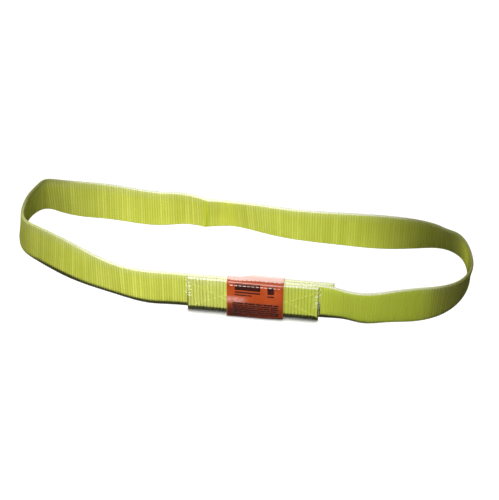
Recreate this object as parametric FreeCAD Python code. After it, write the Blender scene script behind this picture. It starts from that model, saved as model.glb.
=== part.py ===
import FreeCAD, Part

import math
import os

from FreeCAD import Vector

# An endless flat web lifting sling that stands on its edge as a long open loop.
# +X runs along the loop, the spliced run is on the -Y side, and z = 0 is the ground.
# The loop is one length of webbing whose two ends lap each other under a short cover
# of the same webbing, with a label folded over the splice. All sizes are in mm.

# Webbing
WEB_WIDTH = 50.8
WEB_THICK = 4.2
LAYER_GAP = 0.3          # between two layers that are sewn together
SECTION_STEP = 10.0      # spacing of the sections that the webbing's faces pass through
SECTIONS_PER_SPAN = 10   # sections along one of its faces

# Splice: a stiff straight stretch of the front run, given by x along the line
# y = SPLICE_Y + SPLICE_SLOPE * x, which is the middle of the webbing's own thickness
SPLICE_Y = -65.6
SPLICE_SLOPE = 0.05
OUTER_END_X = 32.0       # cut end of the layer that comes in from the right
INNER_END_X = 119.0      # cut end of the layer that comes in from the left
END_CLEAR = 3.0          # between the outer cut end and the layer that steps in beside it
JOG_LENGTH = 18.0        # stretch over which the inner layer steps in behind the outer one
COVER_FROM_X = -46.0
COVER_TO_X = 103.0

# Label: one strip folded over the top edge, with its outer flap standing off at the foot
LABEL_FROM_X = -0.5
LABEL_TO_X = 63.5
LABEL_THICK = 1.0
LABEL_CLEAR = 0.8        # between the label and the webbing under it, at the top
LABEL_FOOT_CLEAR = 3.2   # the same at the foot of the outer flap
LABEL_FOOT_Z = 1.0

# Thread: every visible stitch is a short straight bar on the surface
THREAD_WIDTH = 0.9
THREAD_THICK = 0.45
STITCH_LENGTH = 4.6
STITCH_PITCH = 6.4
STITCH_CLEAR = 0.02      # between a stitch and the surface it lies on
SEAM_MARGIN = 5.0        # from the webbing's edges to the nearest stitches
DIAMOND_LENGTH = 75.0    # one diagonal of the splice's diamond seam, along X
EDGE_STITCH_PITCH = 3.6  # of the stitches that bind the cover's two cut ends
EDGE_STITCH_LENGTH = 7.0
EDGE_STITCH_INSET = 0.5  # from the cut end to the nearest point of those stitches
LABEL_SEAM_DEPTHS = (4.0, 8.5)   # of the two seams, below the label's fold
LABEL_SEAM_MARGIN = 3.0          # from the label's sides to its seams

# The route of the webbing round the loop, from the splice's right end counter-clockwise
# to its left end: x, y of the middle of its lower edge, and how far its upper edge leans
# out of the loop, in degrees.
ROUTE = [
    (134, -59, 6), (153, -61.5, 4), (179, -56, 2), (213, -48, -2), (242, -31, 6),
    (259.5, -6, 9), (266.5, 20, -2), (265, 44, -11), (254.5, 65, -18), (234, 75.5, -19.5),
    (205, 72, -9), (160, 63.3, 2.5), (110, 61.6, 0), (55, 62, -4), (14, 67.5, -8.5),
    (-23, 72, -13), (-50, 67, -7.5), (-73, 66.5, -3), (-103, 59.5, 2.5), (-168, 59, 6.5),
    (-205, 58, 6), (-230, 61.7, 0), (-248, 64, -7), (-261, 52, -12), (-266.5, 29, -11),
    (-265, 7, -9), (-255.5, -12, -5), (-235, -26.3, -7), (-190, -48, -9.5), (-130, -64.4, 1.5),
    (-90, -71.2, -1), (-66, -69.3, -0.5),
]

STEP_IN = WEB_THICK + LAYER_GAP


def splice_y(x, step_in=0.0):
    """The splice's line at x, moved into the loop by step_in."""
    return SPLICE_Y + SPLICE_SLOPE * x + step_in


def strap_stations():
    """The whole route of the webbing from its outer cut end to its inner one."""
    outer_lap = [(x, splice_y(x), 0) for x in (OUTER_END_X, 50, 70, 90, 110)]
    jog_end = OUTER_END_X - END_CLEAR
    jog_middle = jog_end - JOG_LENGTH / 2
    before_jog = [(x, splice_y(x), 0) for x in (-44, -24, -6, jog_end - JOG_LENGTH)]
    jog = [(jog_middle, splice_y(jog_middle, STEP_IN / 2), 0)]
    behind = [jog_end, 44, 60, 80, 100, INNER_END_X]
    inner_lap = [(x, splice_y(x, STEP_IN), 0) for x in behind]
    return outer_lap + ROUTE + before_jog + jog + inner_lap


def chord_parameters(points):
    """The running length along the points."""
    total = [0.0]
    for a, b in zip(points, points[1:]):
        total.append(total[-1] + (b - a).Length)
    return total


def smooth_curve(points, parameters):
    curve = Part.BSplineCurve()
    curve.interpolate(Points=points, Parameters=parameters)
    return curve


def strap_sections():
    """The webbing's four corners at even steps along its route.

    Returns lists of points along the lower outer, lower inner, upper outer and upper
    inner edges, and the running length at each of them."""
    stations = strap_stations()
    on_ground = [Vector(x, y, 0) for x, y, lean in stations]
    lengths = chord_parameters(on_ground)
    middle = smooth_curve(on_ground, lengths)
    lean_curve = smooth_curve([Vector(s, lean, 0) for s, (x, y, lean) in zip(lengths, stations)], lengths)

    count = round(lengths[-1] / SECTION_STEP)
    corners = ([], [], [], [])
    parameters = [lengths[-1] * i / count for i in range(count + 1)]
    for s in parameters:
        foot = middle.value(s)
        along = middle.tangent(s)[0]
        out = Vector(along.y, -along.x, 0).normalize()
        lean = math.radians(lean_curve.value(s).y)
        up = out * math.sin(lean) + Vector(0, 0, math.cos(lean))
        across = out * math.cos(lean) - Vector(0, 0, math.sin(lean))
        head = foot + up * WEB_WIDTH
        corners[0].append(foot + out * (WEB_THICK / 2))
        corners[1].append(foot - out * (WEB_THICK / 2))
        corners[2].append(head + across * (WEB_THICK / 2))
        corners[3].append(head - across * (WEB_THICK / 2))
    return corners, parameters


def webbing_strap():
    """One solid, whose long faces are cut into spans of a few sections each."""
    corners, parameters = strap_sections()
    curves = [smooth_curve(points, parameters) for points in corners]
    spans = parameters[::SECTIONS_PER_SPAN]
    if spans[-1] < parameters[-1]:
        spans.append(parameters[-1])

    def cut_end(s):
        low_out, low_in, high_out, high_in = [curve.value(s) for curve in curves]
        return Part.Face(Part.makePolygon([low_out, high_out, high_in, low_in, low_out]))

    faces = [cut_end(spans[0]), cut_end(spans[-1])]
    for start, end in zip(spans, spans[1:]):
        low_out, low_in, high_out, high_in = [curve.toShape(start, end) for curve in curves]
        sides = [Part.makeLine(curves[0].value(s), curves[1].value(s)) for s in (start, end)]
        faces.append(Part.Face(Part.Wire([low_out, sides[1], low_in, sides[0]])))
        faces.append(Part.makeRuledSurface(low_out, high_out))
        faces.append(Part.makeRuledSurface(high_out, high_in))
        faces.append(Part.makeRuledSurface(high_in, low_in))
    shell = Part.makeShell(faces)
    shell.sewShape()
    solid = Part.makeSolid(shell)
    if solid.Volume < 0:
        solid.reverse()
    return solid


def onto_splice(shape):
    """Moves a shape drawn with its length along X and the splice's line at y = 0 to its place."""
    placed = shape.copy()
    placed.rotate(Vector(0, 0, 0), Vector(0, 0, 1), math.degrees(math.atan(SPLICE_SLOPE)))
    placed.translate(Vector(0, SPLICE_Y, 0))
    return placed


def block(x_range, y_range, z_range):
    corner = Vector(x_range[0], y_range[0], z_range[0])
    sizes = [high - low for low, high in (x_range, y_range, z_range)]
    return Part.makeBox(*sizes, corner)


# Faces of the splice, across its thickness: y is negative outside the loop
COVER_IN = -WEB_THICK / 2 - LAYER_GAP
COVER_OUT = COVER_IN - WEB_THICK
LAP_INNER_FACE = STEP_IN + WEB_THICK / 2


def splice_cover():
    return onto_splice(block((COVER_FROM_X, COVER_TO_X), (COVER_OUT, COVER_IN), (0, WEB_WIDTH)))


def label_outer_y(z):
    """The outer face of the label's outer flap at height z."""
    share = (WEB_WIDTH - z) / (WEB_WIDTH - LABEL_FOOT_Z)
    clear = LABEL_CLEAR + (LABEL_FOOT_CLEAR - LABEL_CLEAR) * share
    return COVER_OUT - clear - LABEL_THICK


def label():
    """A strip folded over the webbing's upper edge, drawn as its section and drawn out."""
    inner_y = LAP_INNER_FACE + LABEL_CLEAR
    fold_z = WEB_WIDTH + LABEL_CLEAR
    section = [
        (label_outer_y(LABEL_FOOT_Z), LABEL_FOOT_Z),
        (label_outer_y(fold_z), fold_z + LABEL_THICK),
        (inner_y + LABEL_THICK, fold_z + LABEL_THICK),
        (inner_y + LABEL_THICK, LABEL_FOOT_Z),
        (inner_y, LABEL_FOOT_Z),
        (inner_y, fold_z),
        (label_outer_y(fold_z) + LABEL_THICK, fold_z),
        (label_outer_y(LABEL_FOOT_Z) + LABEL_THICK, LABEL_FOOT_Z),
    ]
    ring = [Vector(LABEL_FROM_X, y, z) for y, z in section]
    face = Part.Face(Part.makePolygon(ring + ring[:1]))
    return onto_splice(face.extrude(Vector(LABEL_TO_X - LABEL_FROM_X, 0, 0)))


def stitch(x, z, face_y, outward, length=STITCH_LENGTH, slope=0.0):
    """One stitch centred at (x, z) on a face, sloping in degrees from the X direction."""
    foot = face_y + outward * STITCH_CLEAR
    near, far = sorted((foot, foot + outward * THREAD_THICK))
    bar = block((-length / 2, length / 2), (near, far), (-THREAD_WIDTH / 2, THREAD_WIDTH / 2))
    bar.rotate(Vector(0, 0, 0), Vector(0, 1, 0), -slope)
    bar.translate(Vector(x, 0, z))
    return bar


def outer_and_inner_faces():
    """The two faces that the splice's seams show on, each with its outward direction."""
    return ((COVER_OUT, -1), (LAP_INNER_FACE, 1))


def splice_stitching():
    """Two rows that cross in a chain of diamonds along the cover, on both faces."""
    half_height = WEB_WIDTH / 2 - SEAM_MARGIN
    middle_z = WEB_WIDTH / 2
    slope = math.degrees(math.atan2(2 * half_height, DIAMOND_LENGTH))
    row_length = math.hypot(DIAMOND_LENGTH, 2 * half_height)
    count = int(row_length / STITCH_PITCH)
    bars = []
    for face_y, outward in outer_and_inner_faces():
        first_x = COVER_FROM_X if outward < 0 else OUTER_END_X
        for start_x in (COVER_FROM_X, COVER_FROM_X + DIAMOND_LENGTH):
            for rise in (1, -1):
                for i in range(count):
                    share = (i + 0.5) / count
                    if abs(share - 0.5) < 0.5 / count and rise < 0:
                        continue
                    x = start_x + DIAMOND_LENGTH * share
                    z = middle_z + rise * half_height * (2 * share - 1)
                    if x > first_x + STITCH_LENGTH:
                        bars.append(stitch(x, z, face_y, outward, slope=rise * slope))
    return onto_splice(Part.makeCompound(bars))


def cover_edge_stitching(edge_x, into_cover):
    """A row of stitches just inside one cut end of the cover, square to the webbing."""
    count = int((WEB_WIDTH - 2 * SEAM_MARGIN) / EDGE_STITCH_PITCH)
    centre_x = edge_x + into_cover * (EDGE_STITCH_LENGTH / 2 + EDGE_STITCH_INSET)
    bars = []
    for i in range(count):
        z = WEB_WIDTH / 2 + EDGE_STITCH_PITCH * (i - (count - 1) / 2)
        bars.append(stitch(centre_x, z, COVER_OUT, -1, length=EDGE_STITCH_LENGTH))
    return onto_splice(Part.makeCompound(bars))


def label_stitching():
    """Two seams along the label, below its fold, on both flaps."""
    count = int((LABEL_TO_X - LABEL_FROM_X - 2 * LABEL_SEAM_MARGIN) / STITCH_PITCH)
    inner_face = LAP_INNER_FACE + LABEL_CLEAR + LABEL_THICK
    bars = []
    for depth in LABEL_SEAM_DEPTHS:
        z = WEB_WIDTH - depth
        outer_face = label_outer_y(z - THREAD_WIDTH)
        for i in range(count):
            x = (LABEL_FROM_X + LABEL_TO_X) / 2 + STITCH_PITCH * (i - (count - 1) / 2)
            bars.append(stitch(x, z, outer_face, -1))
            bars.append(stitch(x, z, inner_face, 1))
    return onto_splice(Part.makeCompound(bars))


def main():
    pieces = {
        "webbing_strap": webbing_strap(),
        "splice_cover": splice_cover(),
        "label": label(),
        "splice_stitching": splice_stitching(),
        "cover_stitching_left": cover_edge_stitching(COVER_FROM_X, 1),
        "cover_stitching_right": cover_edge_stitching(COVER_TO_X, -1),
        "label_stitching": label_stitching(),
    }
    os.makedirs("parts", exist_ok=True)
    whole = FreeCAD.BoundBox()
    for node, shape in pieces.items():
        shape.exportStep(f"parts/{node}.step")
        whole.add(shape.BoundBox)
        print(node, "valid", shape.isValid(), "solids", len(shape.Solids), "volume", round(shape.Volume))
    print("box", whole)
    length = strap_sections()[1][-1]
    print("webbing length", round(length, 1), "area of its width", round(length * WEB_WIDTH))


main()
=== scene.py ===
import math

import bpy
import numpy as np
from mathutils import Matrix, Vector


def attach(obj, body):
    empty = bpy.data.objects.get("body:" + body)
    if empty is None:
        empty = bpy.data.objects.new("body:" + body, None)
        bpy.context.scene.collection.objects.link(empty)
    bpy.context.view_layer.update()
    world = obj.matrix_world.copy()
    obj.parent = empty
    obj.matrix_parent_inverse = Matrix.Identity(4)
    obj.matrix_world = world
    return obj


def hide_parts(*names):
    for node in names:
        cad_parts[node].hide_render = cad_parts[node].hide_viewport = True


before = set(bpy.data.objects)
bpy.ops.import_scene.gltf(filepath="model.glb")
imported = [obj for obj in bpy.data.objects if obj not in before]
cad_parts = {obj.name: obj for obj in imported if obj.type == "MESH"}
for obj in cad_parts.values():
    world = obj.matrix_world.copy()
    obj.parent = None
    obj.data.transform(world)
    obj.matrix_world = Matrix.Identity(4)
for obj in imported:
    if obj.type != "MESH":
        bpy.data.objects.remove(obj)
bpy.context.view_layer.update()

# ---------------------------------------------------------------- sizes, in metres
# The same sizes as the CAD model's. The sling stands on its edge, z = 0 is the ground.

WEB_WIDTH = 0.0508
WEB_THICK = 0.0042
LAYER_GAP = 0.0003
STEP_IN = WEB_THICK + LAYER_GAP
SPLICE_Y = -0.0656
SPLICE_SLOPE = 0.05
OUTER_END_X = 0.032
INNER_END_X = 0.119
JOG_LENGTH = 0.018
END_CLEAR = 0.003
COVER_FROM_X = -0.046
COVER_TO_X = 0.103
LABEL_FROM_X = -0.0005
LABEL_TO_X = 0.0635
LABEL_THICK = 0.001
COVER_LENGTH = COVER_TO_X - COVER_FROM_X
LABEL_WIDTH = LABEL_TO_X - LABEL_FROM_X
# across the splice, from its line: the outer faces of cover and strap, and the inner face
# of the inner lap
COVER_OUT = -(LAYER_GAP + 1.5 * WEB_THICK)
STRAP_OUT = -WEB_THICK / 2
LAP_INNER_FACE = STEP_IN + WEB_THICK / 2

# The route of the webbing round the loop, counter-clockwise from the splice's right end:
# x, y of the middle of its lower edge, and its outward lean in degrees.
ROUTE = [
    (0.134, -0.059, 6), (0.153, -0.0615, 4), (0.179, -0.056, 2), (0.213, -0.048, -2),
    (0.242, -0.031, 6), (0.2595, -0.006, 9), (0.2665, 0.020, -2), (0.265, 0.044, -11),
    (0.2545, 0.065, -18), (0.234, 0.0755, -19.5), (0.205, 0.072, -9), (0.160, 0.0633, 2.5),
    (0.110, 0.0616, 0), (0.055, 0.062, -4), (0.014, 0.0675, -8.5), (-0.023, 0.072, -13),
    (-0.050, 0.067, -7.5), (-0.073, 0.0665, -3), (-0.103, 0.0595, 2.5), (-0.168, 0.059, 6.5),
    (-0.205, 0.058, 6), (-0.230, 0.0617, 0), (-0.248, 0.064, -7), (-0.261, 0.052, -12),
    (-0.2665, 0.029, -11), (-0.265, 0.007, -9), (-0.2555, -0.012, -5), (-0.235, -0.0263, -7),
    (-0.190, -0.048, -9.5), (-0.130, -0.0644, 1.5), (-0.090, -0.0712, -1), (-0.066, -0.0693, -0.5),
]

CREASE_STATION = 21      # a soft crease on the plain run, at this station of the whole route
CREASE_DEPTH = 0.0020
CREASE_REACH = 0.005     # running length over which it fades out
CREASE_SLANT = 0.1       # how far it leans along the webbing, as a share of the height
BOW_SPACING = 0.09       # the strap's faces bow in and out a little, this far apart
BOW_SIZE = 0.0005
COVER_LIFT = 0.0009      # the cover's cut ends stand off the strap this far at the foot

# Weave
STRAP_RIB = 0.0030       # along the webbing, from one rib to the next
COVER_RIB = 0.0039
STRAP_RELIEF = 0.00045   # depth of the grooves between the ribs
COVER_RELIEF = 0.00075
UPPER_SELVAGE = 0.0014   # how far the rounding at the webbing's edges reaches
LOWER_SELVAGE = 0.0010
FOOT_UNDERCUT = 0.0009   # how far the outer face draws in at the foot
FOOT_HEIGHT = 0.008      # height over which it does, and over which it takes painted shade
YARN_WIDTH = 0.0015      # one warp yarn, across the webbing
DEPTH_SPREAD = 0.2       # share by which the ribs differ in depth
FACE_SPREAD = 0.16       # share of that depth by which a rib's own face is uneven
# at each x along the loop: how strong the painted highlight on the webbing's upper edge is, and the
# painted shade on its outer foot
EDGE_HIGHLIGHT = [(-0.27, 0.0), (-0.24, 0.1), (-0.20, 0.6), (-0.15, 0.9), (0.12, 1.0), (0.20, 0.95),
             (0.24, 0.5), (0.26, 0.1)]
STRAP_FOOT_SHADE = [(-0.26, 0.3), (-0.23, 0.8), (-0.20, 1.0), (-0.17, 0.8), (-0.12, 0.9), (-0.05, 1.1),
               (0.10, 1.1), (0.14, 0.7), (0.18, 0.4), (0.22, 0.35), (0.25, 0.6), (0.27, 0.4)]
# how much painted shade its faces take in the spliced run and the plain run, and the plain run's
# upper edge, and how much painted light makes a stretch brighter and greener
FRONT_SHADE = [(-0.27, 0.4), (-0.24, 0.05), (-0.20, 0.0), (-0.11, 0.0), (-0.07, 0.2), (0.13, 0.2),
              (0.17, 0.0), (0.222, 0.0), (0.244, 0.5), (0.262, 0.8)]
BACK_SHADE = [(-0.27, 0.1), (-0.22, 0.0), (0.14, 0.0), (0.205, 0.5), (0.245, 0.5), (0.262, 0.0)]
BACK_EDGE_SHADE = [(-0.25, 0.85), (-0.225, 0.6), (-0.20, 0.0), (0.16, 0.0), (0.20, 0.8), (0.26, 0.7)]
LIT_STRETCH = [(-0.02, 0.0), (0.13, 0.8), (0.21, 0.8), (0.24, 0.0)]
# painted shadow in the corners at the cover's two ends, up to a height: its x, reach and strength
CORNER_SHADOW = [(COVER_FROM_X - 0.0007, 0.0009, 0.5), (COVER_TO_X + 0.0008, 0.0010, 0.8)]
CORNER_SHADOW_TOP = 0.030
CREASE_SHADE_REACH = 0.0025     # reach of the crease's painted shade line
BRIGHT_BEFORE = 0.026    # a patch of painted light lies this far before the crease
BRIGHT_REACH = 0.018
BRIGHT_END_X = 0.250     # and painted light lies on the loop's inner face from here to its right end

# Colours, linear
WEB_GREEN = (0.450, 0.490, 0.046)
WEB_GREEN_LIGHT = (0.535, 0.575, 0.074)
RIB_LIGHT = (0.64, 0.67, 0.10)
RIB_DARK = (0.37, 0.41, 0.015)
YARN_DARK = (0.40, 0.44, 0.018)
# faded yarn, also used for a painted highlight towards the upper edge
FADED_AND_HIGHLIT_GREEN = (0.50, 0.52, 0.26)
GROOVE_SHADE_GREEN = (0.09, 0.115, 0.004)
FIBRE_LIGHT = (0.68, 0.70, 0.22)
# painted light, brighter and greener
LIT_GREEN = (0.495, 0.595, 0.043)
CREASE_SHADE_GREEN = (0.36, 0.43, 0.006)
PAINTED_LIGHT_GREEN = (0.66, 0.71, 0.06)
# painted highlight for the upper selvage
UPPER_EDGE_HIGHLIGHT = (0.55, 0.56, 0.44)
LOWER_EDGE_PALE = (0.66, 0.68, 0.30)
# painted shade
SHADE_OLIVE = (0.150, 0.150, 0.020)
# painted shade for the outer foot and the corners beside the cover
CONTACT_SHADE_BLACK = (0.016, 0.016, 0.004)
# heat-sealed ends, with painted shade
SEAL_AND_SHADE_BLACK = (0.03, 0.033, 0.004)
LABEL_RED = (0.285, 0.042, 0.007)
LABEL_RED_LIGHT = (0.335, 0.052, 0.010)
# painted shade
LABEL_FOOT_SHADE = (0.032, 0.006, 0.004)
# painted glare
LABEL_GLARE = (0.66, 0.38, 0.34)
LABEL_SHOULDER = (0.13, 0.020, 0.005)
# painted highlight
LABEL_FOLD_HIGHLIGHT = (0.48, 0.31, 0.27)
LABEL_RUB = (0.60, 0.20, 0.12)
LABEL_RIM = (0.55, 0.15, 0.07)
PRINT_BLACK = (0.024, 0.006, 0.005)
PRINT_WORN = (0.26, 0.040, 0.012)
PAPER_GREY = (0.84, 0.84, 0.84)
PAPER_LIGHT = (0.87, 0.87, 0.865)

# Thread
THREAD_RADIUS = 0.00042
THREAD_TWIST = 0.0045    # running length of one turn of its three strands
THREAD_ROWS = 14
THREAD_AROUND = 9
STITCH_PITCH = 0.0064
STITCH_LENGTH = 0.0052
SEAM_MARGIN = 0.005
DIAMOND_LENGTH = 0.075
OVERCAST_STITCHES = 11   # over each cut end of the cover
OVERCAST_SUNK = 4        # the lowest of them, which hardly show
OVERCAST_PITCH = 0.0036
LABEL_STITCHES = 12      # in each of the label's seams
LABEL_STITCH = 0.0036
LABEL_SEAM_MARGIN = 0.003
LABEL_SEAMS = (-0.0100, -0.0028, 0.0100, 0.0150)   # running length from the fold's middle
# a stitch dips in at both ends: share of its half length, height over the face
STITCH_ARCH = ((-1, -0.0007), (-0.8, -0.0001), (-0.3, 0.0002),
               (0.3, 0.0002), (0.8, -0.0001), (1, -0.0007))

rng = np.random.default_rng(7)


# ---------------------------------------------------------------- curves

def natural_spline(knots, values):
    """The natural cubic spline through values at knots, as a function of position that
    returns points and slopes."""
    knots = np.asarray(knots, float)
    values = np.asarray(values, float).reshape(len(knots), -1)
    gaps = np.diff(knots)
    system = np.eye(len(knots))
    right = np.zeros(values.shape)
    for i in range(1, len(knots) - 1):
        system[i, i - 1:i + 2] = gaps[i - 1], 2 * (gaps[i - 1] + gaps[i]), gaps[i]
        rise = (values[i + 1] - values[i]) / gaps[i] - (values[i] - values[i - 1]) / gaps[i - 1]
        right[i] = 6 * rise
    bends = np.linalg.solve(system, right)

    def at(position):
        position = np.asarray(position, float)
        i = np.clip(np.searchsorted(knots, position, side="right") - 1, 0, len(gaps) - 1)
        gap = gaps[i][..., None]
        b = (position - knots[i])[..., None] / gap
        a = 1 - b
        points = a * values[i] + b * values[i + 1]
        points = points + ((a**3 - a) * bends[i] + (b**3 - b) * bends[i + 1]) * gap**2 / 6
        slopes = (values[i + 1] - values[i]) / gap
        slopes = slopes + ((1 - 3 * a**2) * bends[i] + (3 * b**2 - 1) * bends[i + 1]) * gap / 6
        return points, slopes

    return at


def splice_y(x, step_in=0.0):
    return SPLICE_Y + SPLICE_SLOPE * x + step_in


def strap_stations():
    """The whole route of the webbing, from its outer cut end to its inner one."""
    jog_end = OUTER_END_X - END_CLEAR
    jog_middle = jog_end - JOG_LENGTH / 2
    outer_lap = [(x, splice_y(x), 0) for x in (OUTER_END_X, 0.05, 0.07, 0.09, 0.11)]
    before_jog = [(x, splice_y(x), 0) for x in (-0.044, -0.024, -0.006, jog_end - JOG_LENGTH)]
    jog = [(jog_middle, splice_y(jog_middle, STEP_IN / 2), 0)]
    behind = [(x, splice_y(x, STEP_IN), 0) for x in (jog_end, 0.044, 0.06, 0.08, 0.1, INNER_END_X)]
    return np.array(outer_lap + ROUTE + before_jog + jog + behind)


def smooth_noise(length, spacing, size):
    """A slowly changing random value along a length."""
    count = max(4, int(length / spacing) + 2)
    curve = natural_spline(np.linspace(0, length, count), rng.uniform(-size, size, count))
    return lambda s: curve(s)[0][..., 0]


def unit(vectors):
    return vectors / np.linalg.norm(vectors, axis=-1, keepdims=True)


def onto_splice(points):
    """Moves points drawn with the splice along X and its line at y = 0 to their place."""
    turn = math.atan(SPLICE_SLOPE)
    x, y, z = np.moveaxis(np.asarray(points, float), -1, 0)
    placed = (x * math.cos(turn) - y * math.sin(turn),
              SPLICE_Y + x * math.sin(turn) + y * math.cos(turn), z)
    return np.stack(placed, axis=-1)


# ---------------------------------------------------------------- meshes

def new_piece(name, points, faces, material, slot, replaces=()):
    mesh = bpy.data.meshes.new(name)
    mesh.from_pydata([tuple(p) for p in np.asarray(points)], [], faces)
    mesh.validate()
    mesh.update()
    mesh.polygons.foreach_set("use_smooth", [True] * len(mesh.polygons))
    piece = bpy.data.objects.new(name, mesh)
    bpy.context.scene.collection.objects.link(piece)
    mesh.materials.append(material)
    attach(piece, "root")
    if replaces:
        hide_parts(*replaces)
    return piece


def store(piece, **values):
    """Keeps a number per vertex for the piece's material."""
    for name, numbers in values.items():
        attribute = piece.data.attributes.new(name, "FLOAT", "POINT")
        attribute.data.foreach_set("value", np.asarray(numbers, np.float32).ravel())


def tube_faces(rows, around, first=0):
    """Quads of a tube of rows rings; ring i starts at first + i * around."""
    i, j = np.meshgrid(np.arange(rows - 1), np.arange(around), indexing="ij")
    a, b = first + i * around + j, first + i * around + (j + 1) % around
    return np.stack([a, a + around, b + around, b], axis=-1).reshape(-1, 4).tolist()


def web_ring(face_points, edge_points):
    """The webbing's section, from the foot of its outer face round to its lower edge:
    height u, offset v, and the outward normal of each point."""
    half, upper, lower = WEB_THICK / 2, UPPER_SELVAGE, LOWER_SELVAGE
    rise = lower + (WEB_WIDTH - upper - lower) * np.linspace(0, 1, face_points) ** 1.3
    undercut = FOOT_UNDERCUT * np.clip(1 - rise / FOOT_HEIGHT, 0, 1) ** 1.5
    turn = np.linspace(0, math.pi, edge_points + 2)[1:-1]
    cap, swing = np.sin(turn), np.cos(turn)
    foot_half, foot_middle = half - undercut[0] / 2, -undercut[0] / 2
    u = np.concatenate([rise, WEB_WIDTH - upper + upper * cap, rise[::-1], lower - lower * cap])
    v = np.concatenate([half - undercut, half * swing, np.full(face_points, -half),
                        foot_middle - foot_half * swing])
    flat = np.zeros(face_points)
    side = np.ones(face_points)
    nu = np.concatenate([flat, cap, flat, -cap])
    nv = np.concatenate([side, swing, -side, -swing])
    return u, v, nu, nv


def smooth(share):
    share = np.clip(share, 0, 1)
    return share * share * (3 - 2 * share)


def level(x, table):
    """The table's value at each x."""
    return np.interp(x, *zip(*table))


def web_strip(name, place, length, rib, relief, per_rib, face_points, edge_points, foot_shade_table,
              crease_at=-1.0, least_shade=0.0, **made):
    """A length of ribbed webbing. place(s, u, v) gives the point at running length s,
    height u across the webbing and v out from its middle. rib is the running length of one
    rib, relief its depth and per_rib its rows of points; see web_marks for the rest."""
    u, v, nu, nv = web_ring(face_points, edge_points)
    around = len(u)
    ribs = round(length / rib)
    rows = ribs * per_rib + 1
    count = np.linspace(0, ribs, rows)
    phase = count - np.floor(count)
    groove = 1 - np.abs(np.sin(math.pi * phase)) ** 0.7
    drift = smooth_noise(length, 0.05, 0.5 * rib)
    slant = smooth_noise(length, 0.04, 0.006)
    fade = np.minimum(1, np.minimum(count, ribs - count) / 4)
    s = count * length / ribs + drift(count * length / ribs) * fade
    s = s[:, None] + (slant(s) * fade)[:, None] * (u - WEB_WIDTH / 2)[None, :]

    rib_depths = 1 + rng.uniform(-DEPTH_SPREAD, DEPTH_SPREAD, ribs + 1)
    rib_faces = rng.uniform(0, FACE_SPREAD, (ribs + 1, around))
    depth = relief * (groove * rib_depths[np.round(count).astype(int)])[:, None]
    depth = depth + relief * rib_faces[np.floor(count).astype(int)] * (1 - groove)[:, None]
    points = place(s, u - nu * depth, v - nv * depth)

    faces = tube_faces(rows, around)
    for first, turned in ((0, False), ((rows - 1) * around, True)):
        faces += end_cap(first, around, face_points, edge_points, turned)
    piece = new_piece(name, points.reshape(-1, 3), faces, **made)
    grid = np.ones((rows, around))
    store(piece, rib=count[:, None] * grid, across=u[None, :] * grid, along=s,
          from_end=np.minimum(s, length - s),
          **web_marks(points, s, u, v, foot_shade_table, crease_at, least_shade))
    return piece


def web_marks(points, s, u, v, foot_shade_table, crease_at, least_shade):
    """How the webbing's colour is marked at each point: painted shade on its outer foot by the table
    given, painted shadow beside the cover's ends, a painted shade line at the crease at running length
    crease_at, painted shade of at least the least amount given everywhere, a painted highlight on its
    upper edge and painted light in some stretches."""
    x, y = points[..., 0], points[..., 1]
    outer = np.clip(0.5 + v / WEB_THICK, 0, 1)
    foot = outer * np.clip(1.2 - u / FOOT_HEIGHT, 0, 1)
    corner = sum(strength * np.exp(-((x - at) / reach) ** 2) for at, reach, strength in CORNER_SHADOW)
    corner = corner * (y < 0) * np.clip((CORNER_SHADOW_TOP - u) / 0.008, 0, 1) * outer
    # the spliced run and the plain run have their own painted shade, and pass into each other
    plain = smooth((y + 0.010) / 0.045)
    upper_edge = np.clip((u - WEB_WIDTH + 0.0020) / 0.0012, 0, 1)
    plain_painted_shade = np.maximum(level(x, BACK_SHADE), upper_edge * level(x, BACK_EDGE_SHADE))
    painted_shade = level(x, FRONT_SHADE) * (1 - plain) + plain_painted_shade * plain
    painted_light = np.exp(-((s - crease_at + BRIGHT_BEFORE) / BRIGHT_REACH) ** 2)
    bright_end = 1.6 * np.clip((x - BRIGHT_END_X) / 0.010, 0, 1) * plain * (1 - outer)
    return {
        "foot_and_corner_shade": np.maximum(level(x, foot_shade_table) * foot, corner),
        "edge_highlight": level(x, EDGE_HIGHLIGHT),
        "painted_shade": np.maximum(painted_shade, least_shade),
        "lit_stretch": level(x, LIT_STRETCH) * (1 - 0.6 * plain),
        "crease_shade": np.exp(-((s - crease_at) / CREASE_SHADE_REACH) ** 2),
        "painted_light": np.maximum(painted_light, bright_end),
    }


def end_cap(first, around, face_points, edge_points, turned):
    """Closes a cut end with quads from the outer face's points to the inner face's."""
    half_edge = edge_points // 2
    quads = []
    for i in range(-half_edge, face_points + half_edge - 1):
        opposite = 2 * face_points + edge_points - 1 - i
        quad = [first + k % around for k in (i, opposite, opposite - 1, i + 1)]
        quad = list(dict.fromkeys(quad))
        if len(quad) > 2:
            quads.append(quad if turned else quad[::-1])
    return quads


# ---------------------------------------------------------------- node materials

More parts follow.
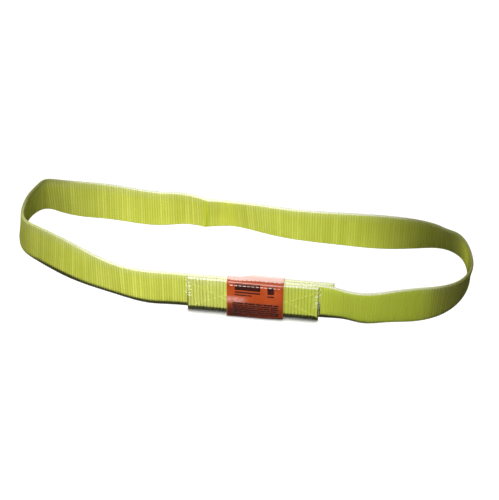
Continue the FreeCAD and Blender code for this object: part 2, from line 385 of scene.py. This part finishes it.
class Nodes:
    """Short calls for a material's node tree. Every value is a number, a colour or a socket."""

    def __init__(self, name, **shader_values):
        self.material = bpy.data.materials.new(name)
        self.material.use_nodes = True
        self.tree = self.material.node_tree
        self.shader = self.tree.nodes["Principled BSDF"]
        for socket, value in shader_values.items():
            self.set(self.shader.inputs[socket.replace("_", " ")], value)

    def set(self, socket, value):
        if isinstance(value, bpy.types.NodeSocket):
            self.tree.links.new(value, socket)
        elif isinstance(value, tuple) and len(value) == 3 and socket.type == "RGBA":
            socket.default_value = (*value, 1)
        else:
            socket.default_value = value

    def add(self, kind, output=0, inputs=(), **settings):
        node = self.tree.nodes.new(kind)
        for name, value in settings.items():
            setattr(node, name, value)
        for key, value in dict(inputs).items():
            self.set(node.inputs[key], value)
        return node.outputs[output]

    def math(self, operation, a, b=0.0):
        inputs = {0: a} if operation in ("FRACT", "FLOOR", "SINE", "ABSOLUTE") else {0: a, 1: b}
        return self.add("ShaderNodeMath", inputs=inputs, operation=operation)

    def value(self, name):
        return self.add("ShaderNodeAttribute", output="Fac", attribute_name=name)

    def ramp(self, factor, low, high, to_low=0.0, to_high=1.0):
        inputs = {"Value": factor, "From Min": low, "From Max": high,
                  "To Min": to_low, "To Max": to_high}
        return self.add("ShaderNodeMapRange", inputs=inputs, interpolation_type="SMOOTHSTEP")

    def mix(self, factor, a, b):
        return self.add("ShaderNodeMix", output=2, inputs={0: factor, 6: a, 7: b}, data_type="RGBA")

    def vector(self, x, y):
        return self.add("ShaderNodeCombineXYZ", inputs={0: x, 1: y})

    def noise(self, vector, scale, detail=2.0):
        inputs = {"Vector": vector, "Scale": scale, "Detail": detail}
        return self.add("ShaderNodeTexNoise", inputs=inputs)

    def position(self):
        return self.add("ShaderNodeTexCoord", output="Object")

    def bump(self, height, distance, strength):
        inputs = {"Height": height, "Distance": distance, "Strength": strength}
        return self.add("ShaderNodeBump", inputs=inputs)

    def finish(self, **links):
        for socket, value in links.items():
            self.set(self.shader.inputs[socket.replace("_", " ")], value)
        return self.material


def webbing_material(name, groove_shade, evened, paleness):
    """Ribbed webbing in yarns, with painted shade in the grooves between its ribs. The second number
    is how dark that painted shade gets, which it reaches at running length evened, and paleness is how
    faded it is; a painted highlight lies along its upper edge."""
    n = Nodes(name, Sheen_Weight=0.08, Sheen_Roughness=0.4, Specular_IOR_Level=0.25,
              Sheen_Tint=(0.9, 1.0, 0.5))
    rib, across, along = n.value("rib"), n.value("across"), n.value("along")
    phase, index = n.math("FRACT", rib), n.math("FLOOR", rib)
    crest = n.math("SINE", n.math("MULTIPLY", phase, math.pi))
    # warp yarns, which change places from one rib to the next
    odd = n.math("FRACT", n.math("MULTIPLY", index, 0.5))
    yarn_index = n.math("DIVIDE", across, YARN_WIDTH)
    yarn = n.math("FRACT", n.math("ADD", yarn_index, odd))
    yarn_crest = n.math("SINE", n.math("MULTIPLY", yarn, math.pi))
    place = n.vector(along, across)
    fibre = n.noise(n.vector(n.math("MULTIPLY", along, 0.35), across), 5200.0, 3.0)
    blotch = n.noise(place, 22.0, 3.0)
    per_rib = n.add("ShaderNodeTexWhiteNoise", inputs={"W": index}, noise_dimensions="1D")
    per_yarn = n.noise(n.vector(n.math("MULTIPLY", index, 0.37), yarn_index), 0.9, 1.0)

    groove = n.ramp(crest, 0.0, 0.75, 1.0, 0.0)
    colour = n.mix(n.ramp(blotch, 0.3, 0.7), WEB_GREEN, WEB_GREEN_LIGHT)
    colour = n.mix(n.ramp(per_rib, 0.45, 1.0, 0.0, 0.6), colour, RIB_LIGHT)
    colour = n.mix(n.ramp(per_rib, 0.0, 0.3, 0.3, 0.0), colour, RIB_DARK)
    colour = n.mix(n.ramp(per_yarn, 0.45, 0.75, 0.0, 0.35), colour, YARN_DARK)
    # the webbing's own fade, and a painted highlight that grows towards the upper edge
    fade_and_highlight = n.ramp(across, WEB_WIDTH - 0.013, WEB_WIDTH - 0.001, paleness, paleness + 0.4)
    colour = n.mix(fade_and_highlight, colour, FADED_AND_HIGHLIT_GREEN)
    # painted shade in the grooves between the ribs, lighter over the first stretch of the length
    groove_shade_here = n.ramp(along, 0.04, evened, 0.55 * groove_shade, groove_shade)
    colour = n.mix(n.math("MULTIPLY", groove, groove_shade_here), colour, GROOVE_SHADE_GREEN)
    colour = n.mix(n.math("MULTIPLY", n.ramp(fibre, 0.4, 0.8), 0.3), colour, FIBRE_LIGHT)
    # painted light on the loop's right stretch, brighter and greener, weaker on the plain run
    colour = n.mix(n.value("lit_stretch"), colour, LIT_GREEN)
    # painted shade in the crease
    colour = n.mix(n.math("MULTIPLY", n.value("crease_shade"), 0.7), colour, CREASE_SHADE_GREEN)
    # painted light before the crease and on the inner face at the right end
    colour = n.mix(n.math("MULTIPLY", n.value("painted_light"), 0.6), colour, PAINTED_LIGHT_GREEN)
    # a painted highlight along the upper selvage, brighter on the rib crests, and painted shade on the
    # outer foot
    wear_and_highlight = n.ramp(across, WEB_WIDTH - 0.0018, WEB_WIDTH - 0.0004, 0.0, 0.95)
    wear_and_highlight = n.math("MULTIPLY", wear_and_highlight, n.ramp(crest, 0.0, 0.6, 0.6, 1.0))
    wear_and_highlight = n.math("MULTIPLY", wear_and_highlight, n.value("edge_highlight"))
    colour = n.mix(wear_and_highlight, colour, UPPER_EDGE_HIGHLIGHT)
    # painted shade, region by region along the loop
    colour = n.mix(n.value("painted_shade"), colour, SHADE_OLIVE)
    colour = n.mix(n.ramp(across, 0.0004, 0.002, 0.5, 0.0), colour, LOWER_EDGE_PALE)
    # painted shade on the outer foot, and painted shadow in the corners beside the cover's ends
    patches = n.ramp(n.noise(place, 300.0, 4.0), 0.3, 0.6, 0.93, 1.0)
    foot_and_corner_shade = n.math("MULTIPLY", n.ramp(n.value("foot_and_corner_shade"), 0.15, 0.60), patches)
    colour = n.mix(foot_and_corner_shade, colour, CONTACT_SHADE_BLACK)
    # heat-sealed cut ends, darker, with painted shade that is darkest low down
    seal_and_shade = n.ramp(n.value("from_end"), 0.0006, 0.0018, 0.97, 0.0)
    seal_and_shade = n.math("MULTIPLY", seal_and_shade, n.ramp(across, 0.020, 0.034, 1.0, 0.4))
    colour = n.mix(seal_and_shade, colour, SEAL_AND_SHADE_BLACK)

    height = n.math("ADD", n.math("MULTIPLY", yarn_crest, n.math("MULTIPLY", crest, 0.8)),
                    n.math("MULTIPLY", fibre, 0.35))
    rough = n.ramp(fibre, 0.3, 0.7, 0.5, 0.68)
    return n.finish(Base_Color=colour, Roughness=rough, Normal=n.bump(height, 0.0004, 0.7))


def thread_material(name, low, high):
    """Twisted thread of a colour that wanders between low and high."""
    n = Nodes(name, Sheen_Weight=0.3, Sheen_Roughness=0.4, Specular_IOR_Level=0.3)
    twist = n.value("twist")
    grain = n.noise(n.position(), 2600.0, 3.0)
    strand = n.math("ABSOLUTE", n.math("SINE", n.math("MULTIPLY", twist, math.pi)))
    colour = n.mix(n.ramp(n.noise(n.position(), 160.0), 0.35, 0.65), low, high)
    shade = tuple(0.45 * part for part in low)
    colour = n.mix(n.ramp(strand, 0.0, 0.5, 0.45, 0.0), colour, shade)
    height = n.math("ADD", strand, n.math("MULTIPLY", grain, 0.5))
    return n.finish(Base_Color=colour, Roughness=n.ramp(grain, 0.3, 0.7, 0.5, 0.7),
                    Normal=n.bump(height, 0.0002, 0.6))


def label_material():
    """Red vinyl, rubbed in spots, with painted shade towards its outer flap's foot, a painted glare on
    one side of the flap and a painted highlight over the fold.
    """
    n = Nodes("label_vinyl", Coat_Weight=0.15, Coat_Roughness=0.3, Specular_IOR_Level=0.35)
    place, run, side = n.position(), n.value("run"), n.value("side")
    mottle = n.noise(place, 60.0, 4.0)
    colour = n.mix(n.ramp(mottle, 0.3, 0.7), LABEL_RED, LABEL_RED_LIGHT)
    # painted shade towards the foot, a painted glare on one side, and a painted highlight over the
    # fold
    low = n.ramp(run, 0.007, 0.028, 0.95, 0.0)
    low = n.math("MULTIPLY", low, n.ramp(side, 0.004, 0.056, 1.0, 0.6))
    colour = n.mix(low, colour, LABEL_FOOT_SHADE)
    # painted glare on the flap, towards one side
    glare = n.math("MULTIPLY", n.ramp(run, 0.0185, 0.0235), n.ramp(run, 0.026, 0.032, 1.0, 0.0))
    glare = n.math("MULTIPLY", glare, n.ramp(side, 0.012, 0.026, 0.5, 0.0))
    glare = n.math("MULTIPLY", glare, n.ramp(n.noise(place, 240.0, 3.0), 0.3, 0.6, 0.5, 1.0))
    colour = n.mix(glare, colour, LABEL_GLARE)
    shoulder = n.ramp(run, LABEL_TOP - 0.0105, LABEL_TOP - 0.0080, 0.0, 0.55)
    colour = n.mix(shoulder, colour, LABEL_SHOULDER)
    # painted highlight over the fold
    fold_highlight = n.ramp(run, LABEL_TOP - 0.0042, LABEL_TOP - 0.0005, 0.0, 0.95)
    fold_highlight = n.math("MULTIPLY", fold_highlight, n.ramp(run, LABEL_TOP + 0.006, LABEL_TOP + 0.010, 1.0, 0.0))
    colour = n.mix(fold_highlight, colour, LABEL_FOLD_HIGHLIGHT)
    rub = n.ramp(n.noise(place, 420.0, 5.0), 0.55, 0.75)
    colour = n.mix(n.math("MULTIPLY", rub, 0.15), colour, LABEL_RUB)
    rim = n.ramp(n.value("from_edge"), 0.0001, 0.0009, 0.4, 0.0)
    colour = n.mix(rim, colour, LABEL_RIM)
    height = n.math("ADD", n.noise(place, 900.0, 3.0), n.math("MULTIPLY", mottle, 2.0))
    return n.finish(Base_Color=colour, Roughness=n.ramp(mottle, 0.3, 0.7, 0.4, 0.55),
                    Normal=n.bump(height, 0.00015, 0.5))


def print_material():
    n = Nodes("label_print", Specular_IOR_Level=0.3)
    wear_and_highlight = n.ramp(n.noise(n.position(), 600.0, 5.0), 0.5, 0.75)
    colour = n.mix(n.math("MULTIPLY", wear_and_highlight, 0.4), PRINT_BLACK, PRINT_WORN)
    return n.finish(Base_Color=colour, Roughness=n.ramp(wear_and_highlight, 0.0, 1.0, 0.45, 0.6))


def floor_material():
    n = Nodes("floor_paper", Specular_IOR_Level=0.1)
    grain = n.noise(n.position(), 320.0, 3.0)
    colour = n.mix(n.ramp(grain, 0.3, 0.7), PAPER_GREY, PAPER_LIGHT)
    return n.finish(Base_Color=colour, Roughness=0.9)


# ---------------------------------------------------------------- webbing

def strap():
    """The strap along its whole route, and its length."""
    stations = strap_stations()
    chords = np.hypot(*np.diff(stations[:, :2], axis=0).T)
    knots = np.concatenate([[0], np.cumsum(chords)])
    length = knots[-1]
    line = natural_spline(knots, stations)
    bow = smooth_noise(length, BOW_SPACING, BOW_SIZE)
    crease_at = knots[CREASE_STATION]
    upright = np.array([0, 0, 1])

    def place(s, u, v):
        points, slopes = line(s)
        along = unit(slopes[..., :2])
        out = np.stack([along[..., 1], -along[..., 0], np.zeros(s.shape)], axis=-1)
        lean = np.radians(points[..., 2])[..., None]
        up = out * np.sin(lean) + upright * np.cos(lean)
        across = out * np.cos(lean) - upright * np.sin(lean)
        share = (u / WEB_WIDTH)[..., None]
        side = unit(out * (1 - share) + across * share)
        foot = np.concatenate([points[..., :2], np.zeros((*s.shape, 1))], axis=-1)
        bulge = bow(s) * (1 - (2 * u / WEB_WIDTH - 1) ** 2)
        from_crease = np.abs(s - crease_at + CREASE_SLANT * (u - WEB_WIDTH / 2))
        bulge = bulge - CREASE_DEPTH * np.exp(-from_crease / CREASE_REACH)
        return foot + up * u[..., None] + side * (v + bulge)[..., None]

    piece = web_strip("webbing_strap_web", place, length, STRAP_RIB, STRAP_RELIEF, per_rib=5,
                      face_points=14, edge_points=6, foot_shade_table=STRAP_FOOT_SHADE, crease_at=crease_at,
                      material=webbing_material("webbing", 0.5, 0.041, 0.0), slot="webbing",
                      replaces=["webbing_strap"])
    return piece, length


def cover_place(s, u, v):
    """The cover lies on the strap, and its cut ends lift a little at the foot."""
    from_end = np.minimum(s, COVER_LENGTH - s)
    lift = COVER_LIFT * np.exp(-from_end / 0.004) * np.clip(1 - u / 0.028, 0, 1)
    middle = -(LAYER_GAP + WEB_THICK)
    return onto_splice(np.stack([COVER_FROM_X + s, middle - v - lift, u], axis=-1))


def cover():
    return web_strip("splice_cover_web", cover_place, COVER_LENGTH, COVER_RIB, COVER_RELIEF,
                     per_rib=8, face_points=24, edge_points=8, foot_shade_table=[(0, 1.3)], least_shade=0.23,
                     material=webbing_material("cover_webbing", 0.95, 0.12, 0.2), slot="webbing",
                     replaces=["splice_cover"])


# ---------------------------------------------------------------- thread

def thread_mesh(name, paths, material, replaces):
    """Twisted three-strand thread along each path, a list of points from end to end."""
    points, faces, twists = [], [], []
    for path in paths:
        path = np.asarray(path, float)
        knots = np.concatenate([[0], np.cumsum(np.linalg.norm(np.diff(path, axis=0), axis=1))])
        s = np.linspace(0, knots[-1], THREAD_ROWS)
        line, slopes = natural_spline(knots, path)(s)
        along = unit(slopes)
        side = unit(np.cross(along, [0.0, 0.3, 1.0]))
        other = np.cross(side, along)
        turn = np.linspace(0, 2 * math.pi, THREAD_AROUND, endpoint=False)[None, :]
        strand = 3 * (turn - s[:, None] * 2 * math.pi / THREAD_TWIST)
        radius = THREAD_RADIUS * (0.86 + 0.14 * np.cos(strand))
        ring = side[:, None] * np.cos(turn)[..., None] + other[:, None] * np.sin(turn)[..., None]
        first = len(points) * THREAD_ROWS * THREAD_AROUND
        faces += tube_faces(THREAD_ROWS, THREAD_AROUND, first)
        last = first + (THREAD_ROWS - 1) * THREAD_AROUND
        faces += [list(range(first, first + THREAD_AROUND)),
                  list(range(last + THREAD_AROUND - 1, last - 1, -1))]
        points.append(line[:, None] + ring * radius[..., None])
        twists.append(strand / (2 * math.pi))
    points = np.concatenate(points).reshape(-1, 3)
    piece = new_piece(name, points, faces, material, "thread", replaces)
    store(piece, twist=np.concatenate(twists))
    return piece


def stitch(x, z, face_y, outward, slope):
    """A stitch on a face of the splice: it dips in at both ends and stands up between."""
    across = np.array([math.cos(slope), 0, math.sin(slope)]) * STITCH_LENGTH / 2
    out = np.array([0, outward, 0])
    centre = np.array([x, face_y, z])
    return onto_splice([centre + across * share + out * height for share, height in STITCH_ARCH])


def splice_seams():
    """Two crosses of stitches side by side, on the cover's face and the innermost lap's."""
    half_height = WEB_WIDTH / 2 - SEAM_MARGIN
    slope = math.atan2(2 * half_height, DIAMOND_LENGTH)
    count = int(math.hypot(DIAMOND_LENGTH, 2 * half_height) / STITCH_PITCH)
    paths = []
    sides = ((COVER_OUT, -1, COVER_FROM_X), (LAP_INNER_FACE, 1, OUTER_END_X))
    for face_y, outward, first_x in sides:
        for start_x in (COVER_FROM_X, COVER_FROM_X + DIAMOND_LENGTH):
            for rise in (1, -1):
                for i in range(count):
                    share = (i + 0.5) / count
                    x = start_x + DIAMOND_LENGTH * share
                    z = WEB_WIDTH / 2 + rise * half_height * (2 * share - 1)
                    if x > first_x + STITCH_LENGTH:
                        paths.append(stitch(x, z, face_y, outward, rise * slope))
    return paths


def overcast(edge_x, into_cover):
    """Stitches that cross a cut end of the cover, from its face down to the strap's. Only
    the upper ones stand proud."""
    paths = []
    for i in range(OVERCAST_STITCHES):
        z = WEB_WIDTH / 2 + OVERCAST_PITCH * (i - OVERCAST_STITCHES // 2)
        z += rng.uniform(-0.0009, 0.0009)
        inside = 0.0058 + rng.uniform(-0.0016, 0.0012)
        outside = 0.0026 + rng.uniform(-0.0008, 0.0008)
        tilt = rng.uniform(-0.0016, 0.0016)
        sunk = 0.0002 + rng.uniform(0, 0.0002)
        if i < OVERCAST_SUNK:
            sunk, inside, outside = 0.0006, inside / 2, outside / 3
        cover_face, strap_face = COVER_OUT + sunk, STRAP_OUT + sunk
        path = [
            (edge_x + into_cover * inside, cover_face + 0.0008, z),
            (edge_x + into_cover * inside * 0.75, cover_face - 0.0002, z + tilt * 0.3),
            (edge_x + into_cover * 0.0012, cover_face - 0.0002, z + tilt * 0.7),
            (edge_x + into_cover * 0.0001, cover_face + 0.0012, z + tilt * 0.8),
            (edge_x - into_cover * outside * 0.6, strap_face - 0.0006, z + tilt),
            (edge_x - into_cover * outside, strap_face + 0.0006, z + tilt),
        ]
        paths.append(onto_splice(path))
    return paths


# ---------------------------------------------------------------- label

# The label's section, across the splice and up, from the foot of its outer flap over the
# fold to the inner foot
LABEL_SECTION = [
    (-0.0103, 0.0012), (-0.0101, 0.010), (-0.0098, 0.022), (-0.0091, 0.036), (-0.0083, 0.046),
    (-0.0074, 0.0502), (-0.0050, 0.0514), (0.0, 0.0517), (0.0050, 0.0514), (0.0074, 0.0502),
    (0.0079, 0.046), (0.0079, 0.030), (0.0079, 0.014), (0.0080, 0.0012),
]
SHOULDER, INNER_FLAP = -0.0074, 0.0079   # where it turns over, and where it hangs behind
LABEL_TUCK = (0.0051, 0.0007)        # how much closer the inner flap lies at its left and right
TUCK_FROM_X = 0.010                  # the one passes into the other over this stretch
TUCK_STRETCH = 0.022
FLAP_WAVE = 0.0005                   # the outer flap's foot waves,
FLAP_LIFT = 0.0008                   # stands off at its left
FLAP_DRAW_IN = 0.0018                # and draws in at its right
FLAP_HEIGHT = 0.045                  # fading out over this running length from the foot
LABEL_COLUMNS, LABEL_ROWS = 40, 90
# the print's solid blocks and ruled lines: x from and to, running length from and to
PRINT_BLOCKS = [
    (0.0085, 0.0375, 0.0400, 0.0492), (0.0085, 0.0375, 0.0356, 0.0380),
    (0.0085, 0.028, 0.0318, 0.0336), (0.0455, 0.0530, 0.0370, 0.0480),
    (0.0455, 0.0530, 0.0325, 0.0345),
]
DASH_ROWS = 6                        # and under them rows of dashes of uneven length
DASH_ROW_PITCH = 0.0032
DASH_HEIGHT = 0.0024
DASH_GAP = 0.0009
DASH_LAST_X = 0.055                  # no dash starts beyond this x, or ends beyond the next
PRINT_TO_X = 0.0585
PRINT_COLUMNS, PRINT_ROWS = 5, 7


def label_curve():
    section = np.array(LABEL_SECTION)
    knots = np.concatenate([[0], np.cumsum(np.hypot(*np.diff(section, axis=0).T))])
    return natural_spline(knots, section), knots[-1]


label_line, LABEL_RUN = label_curve()
LABEL_TOP = LABEL_RUN / 2 - 0.0005   # running length at the middle of the fold


def label_point(x, w, lift):
    """The point at x and running length w from the outer foot, lift out from the middle of
    the label's thickness."""
    points, slopes = label_line(w)
    along = unit(slopes)
    flap = np.clip(1 - w / FLAP_HEIGHT, 0, 1)
    share = (x - LABEL_FROM_X) / LABEL_WIDTH
    wave = FLAP_WAVE * np.sin(share * 5.0 + 0.6) * flap - FLAP_LIFT * flap**2 * (1 - share)
    wave = wave + FLAP_DRAW_IN * flap**2 * share**3
    left, right = LABEL_TUCK
    tuck = left + (right - left) * smooth((x - TUCK_FROM_X) / TUCK_STRETCH)
    tuck = tuck * np.clip((points[..., 0] - SHOULDER) / (INNER_FLAP - SHOULDER), 0, 1)
    y = points[..., 0] - along[..., 1] * lift + wave - tuck
    z = points[..., 1] + along[..., 0] * lift
    return np.stack([x, y, z], axis=-1)


def label_slab(x, w, outer_lift, inner_lift, first=0):
    """Points and faces of a slab over a grid of x and w, between two lifts. Round each
    column of it goes one loop of points: up the outer face, then back down the inner one."""
    columns, rows = x.shape
    around = 2 * rows
    outer, inner = label_point(x, w, outer_lift), label_point(x, w, inner_lift)
    loops = np.concatenate([outer, inner[:, ::-1]], axis=1)
    faces = tube_faces(columns, around, first)
    for start, turned in ((first, False), (first + (columns - 1) * around, True)):
        for i in range(rows - 1):
            quad = [start + i, start + around - 1 - i, start + around - 2 - i, start + i + 1]
            faces.append(quad if turned else quad[::-1])
    return onto_splice(loops).reshape(-1, 3), faces


def label(material):
    x, w = np.meshgrid(np.linspace(LABEL_FROM_X, LABEL_TO_X, LABEL_COLUMNS),
                       np.linspace(0, LABEL_RUN, LABEL_ROWS), indexing="ij")
    points, faces = label_slab(x, w, LABEL_THICK / 2, -LABEL_THICK / 2)
    piece = new_piece("label_flap", points, faces, material, "label", ["label"])
    w_loop = np.concatenate([w, w[:, ::-1]], axis=1)
    x_loop = np.concatenate([x, x[:, ::-1]], axis=1)
    from_edge = np.minimum(np.minimum(x_loop - LABEL_FROM_X, LABEL_TO_X - x_loop),
                           np.minimum(w_loop, LABEL_RUN - w_loop))
    store(piece, from_edge=from_edge, run=w_loop, side=x_loop - LABEL_FROM_X)
    return piece


def label_print(material):
    """Plain blocks, ruled lines and dashes in place of the printing, as thin films on the
    outer flap."""
    blocks = list(PRINT_BLOCKS)
    for row in range(DASH_ROWS):
        w = 0.0030 + row * DASH_ROW_PITCH
        x = 0.005 + rng.uniform(0, 0.003)
        while x < DASH_LAST_X:
            dash = rng.uniform(0.005, 0.013)
            blocks.append((x, min(x + dash, PRINT_TO_X), w, w + DASH_HEIGHT))
            x += dash + DASH_GAP
    face = LABEL_THICK / 2
    points, faces = [], []
    for x0, x1, w0, w1 in blocks:
        x, w = np.meshgrid(np.linspace(x0, x1, PRINT_COLUMNS), np.linspace(w0, w1, PRINT_ROWS),
                           indexing="ij")
        first = len(points) * 2 * PRINT_COLUMNS * PRINT_ROWS
        block_points, block_faces = label_slab(x, w, face + 0.00006, face - 0.0001, first)
        points.append(block_points)
        faces += block_faces
    return new_piece("label_print", np.concatenate(points), faces, material, "label")


def label_seams():
    pitch = (LABEL_WIDTH - 2 * LABEL_SEAM_MARGIN) / LABEL_STITCHES
    paths = []
    for from_fold in LABEL_SEAMS:
        w = np.array(LABEL_TOP + from_fold)
        for i in range(LABEL_STITCHES):
            x = LABEL_FROM_X + LABEL_SEAM_MARGIN + pitch * (i + 0.5)
            path = [label_point(np.array(x + LABEL_STITCH / 2 * share), w, LABEL_THICK / 2 + height)
                    for share, height in STITCH_ARCH]
            paths.append(onto_splice(path))
    return paths


# ---------------------------------------------------------------- studio

# place, target, power and spread in degrees of each front spot
FRONT_SPOTS = [
    ((-0.05, -1.2, 1.3), (-0.02, 0, 0), 111, 14),
    ((-0.15, -1.2, 1.3), (-0.12, 0, 0), 78, 16),
    ((-0.5, -1.0, 1.3), (-0.1, 0.02, 0), 32, 20),
    ((0.25, -1.2, 1.2), (0.05, -0.03, 0), 110, 18),
]
# azimuth and elevation in degrees, and strength, of each fill light on the sling
SLING_SUNS = [(-80, 35, 1.35), (80, 35, 0.6), (180, 50, 0.35), (180, 10, 2.4)]
# the same of the two suns on the floor, and their spread in degrees
FLOOR_FRONT = (0, 60, 0.6, 25)
FLOOR_TOP = (180, 86, 3.6, 9)
FILL_SPREAD = 25
WORLD_STRENGTH = 0.025
CAMERA_LENS = 121.7
CAMERA_PLACE = (0.2521, -1.3840, 1.3893)
CAMERA_TARGET = (0.0072, 0.0337, 0)
FLOOR_HALF = 20


def aim(thing, place, target):
    thing.location = place
    direction = np.asarray(target, float) - np.asarray(place, float)
    thing.rotation_euler = Vector(direction).to_track_quat("-Z", "Y").to_euler()


def sky(azimuth, elevation):
    """A place in the sky, in degrees: azimuth 0 is in front of the sling, 90 on its right."""
    turn, climb = math.radians(azimuth), math.radians(elevation)
    ground = 3 * math.cos(climb)
    return (ground * math.sin(turn), -ground * math.cos(turn), 3 * math.sin(climb))


def light(name, kind, place, target, power, receivers, blockers=None, **settings):
    """A lamp that lights the receivers only, and is shadowed by the blockers only."""
    data = bpy.data.lights.new(name, kind)
    data.energy = power
    for key, value in settings.items():
        setattr(data, key, value)
    lamp = bpy.data.objects.new(name, data)
    bpy.context.scene.collection.objects.link(lamp)
    aim(lamp, place, target)
    lamp.light_linking.receiver_collection = linked(name + "_lit", receivers)
    if blockers:
        lamp.light_linking.blocker_collection = linked(name + "_shadowed", blockers)


def sun(name, azimuth, elevation, power, spread, receivers, blockers=None):
    light(name, "SUN", sky(azimuth, elevation), (0, 0, 0), power, receivers, blockers,
          angle=math.radians(spread))


def linked(name, things):
    group = bpy.data.collections.new(name)
    for thing in things:
        group.objects.link(thing)
    return group


def floor():
    mesh = bpy.data.meshes.new("floor")
    corners = [(x * FLOOR_HALF, y * FLOOR_HALF, 0) for x, y in ((-1, -1), (1, -1), (1, 1), (-1, 1))]
    mesh.from_pydata(corners, [], [(0, 1, 2, 3)])
    piece = bpy.data.objects.new("floor", mesh)
    bpy.context.scene.collection.objects.link(piece)
    mesh.materials.append(floor_material())
    return piece


def camera():
    data = bpy.data.cameras.new("camera")
    data.lens = CAMERA_LENS
    data.sensor_width = 36
    data.clip_end = 60
    viewer = bpy.data.objects.new("camera", data)
    bpy.context.scene.collection.objects.link(viewer)
    aim(viewer, CAMERA_PLACE, CAMERA_TARGET)
    bpy.context.scene.camera = viewer


# ---------------------------------------------------------------- the sling

strap_piece, strap_length = strap()
cover_piece = cover()
sunk_thread = thread_material("sunk_thread", (0.38, 0.42, 0.04), (0.47, 0.51, 0.10))
end_thread = thread_material("end_thread", (0.40, 0.44, 0.20), (0.55, 0.58, 0.40))
label_thread = thread_material("label_thread", (0.46, 0.30, 0.24), (0.66, 0.50, 0.44))
seams = [
    thread_mesh("splice_thread", splice_seams(), sunk_thread, ["splice_stitching"]),
    thread_mesh("cover_thread_left", overcast(COVER_FROM_X, 1), end_thread, ["cover_stitching_left"]),
    thread_mesh("cover_thread_right", overcast(COVER_TO_X, -1), end_thread, ["cover_stitching_right"]),
    thread_mesh("label_thread", label_seams(), label_thread, ["label_stitching"]),
]
label_piece = label(label_material())
print_piece = label_print(print_material())

floor_piece = floor()
sling = [strap_piece, cover_piece, label_piece, print_piece, *seams]
camera()
bpy.context.scene.view_settings.view_transform = "Standard"
world = bpy.data.worlds.new("studio")
bpy.context.scene.world = world
world.use_nodes = True
background = world.node_tree.nodes["Background"].inputs
background["Color"].default_value = (1, 1, 1, 1)
background["Strength"].default_value = WORLD_STRENGTH
floor_piece.visible_diffuse = False
floor_piece.visible_glossy = False

# soft front spots and broad fill suns for the sling alone, and two suns for the floor alone:
# the floor's upper sun casts the narrow shadow at the foot of the splice
for place, target, power, spread in FRONT_SPOTS:
    light("front", "SPOT", place, target, power, sling, shadow_soft_size=0.15,
          spot_size=math.radians(spread), spot_blend=1.0)
for azimuth, elevation, power in SLING_SUNS:
    sun("fill", azimuth, elevation, power, FILL_SPREAD, sling)
sun("floor_front", *FLOOR_FRONT, [floor_piece])
sun("floor_top", *FLOOR_TOP, [floor_piece], [cover_piece, label_piece])
